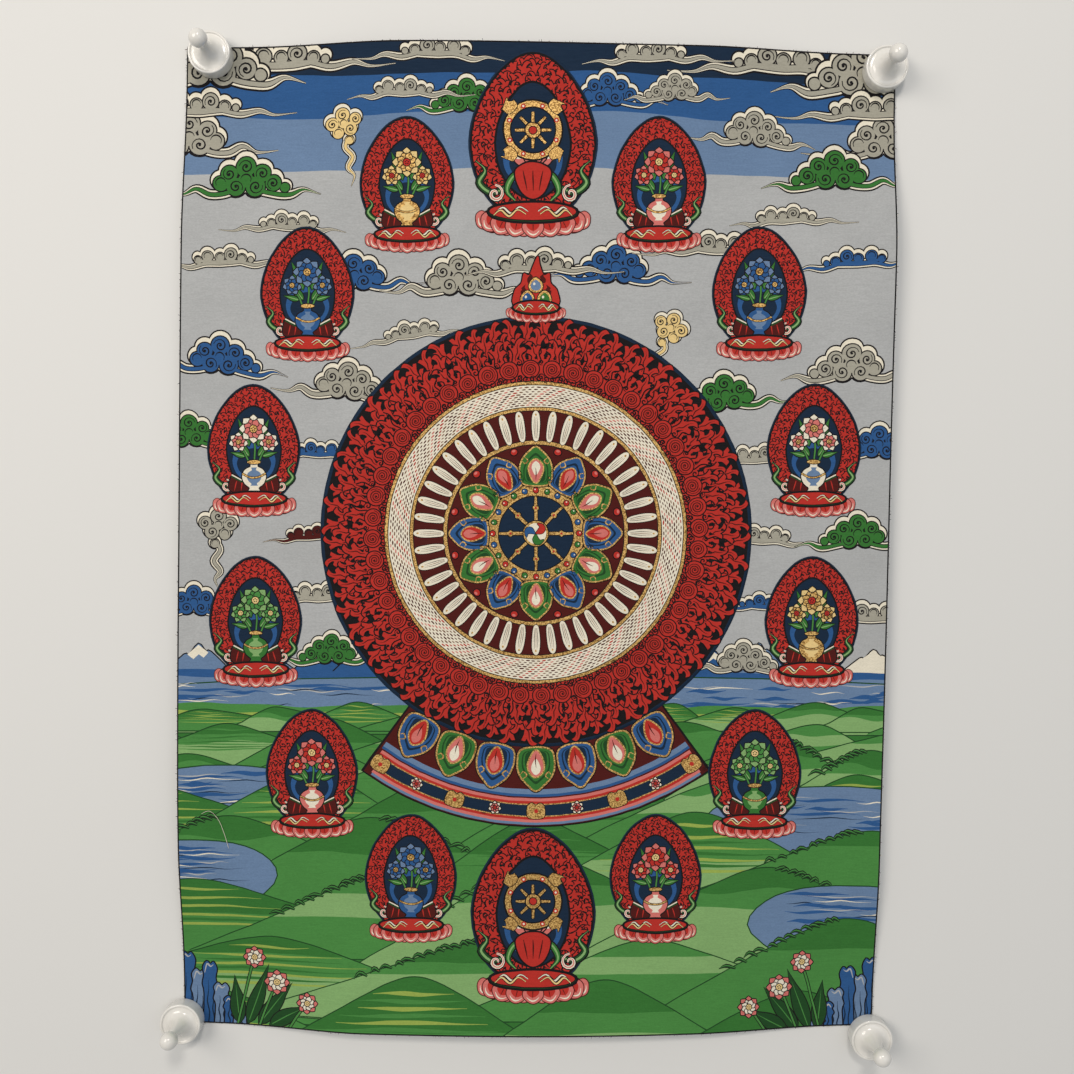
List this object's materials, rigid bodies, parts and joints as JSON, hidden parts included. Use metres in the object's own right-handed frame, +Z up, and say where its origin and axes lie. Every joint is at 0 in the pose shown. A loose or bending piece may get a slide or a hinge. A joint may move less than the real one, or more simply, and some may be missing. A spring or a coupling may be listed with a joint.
{
  "type": "embroidered thangka with push-pin magnets",
  "caption": "Rectangular woven and embroidered wall hanging, held flat on a steel wall by a push-pin magnet at each corner.",
  "frame": {"origin": "on the wall, at the middle of the panel's top edge", "axes": "+Z up, +Y into the wall, so the thangka faces -Y, and +X to the right of someone who looks at it"},
  "size_m": [0.5202, 0.0394, 0.7159],
  "materials": {
    "brocade": "thick woven silk brocade in many colours, with fine embroidered outlines, matt with a faint sheen",
    "magnet_plastic": "moulded white plastic, glossy"
  },
  "bodies": {
    "root": {"thangka_panel": "brocade", "magnet_top_left": "magnet_plastic", "magnet_top_right": "magnet_plastic", "magnet_bottom_left": "magnet_plastic", "magnet_bottom_right": "magnet_plastic"}
  },
  "joints": []
}
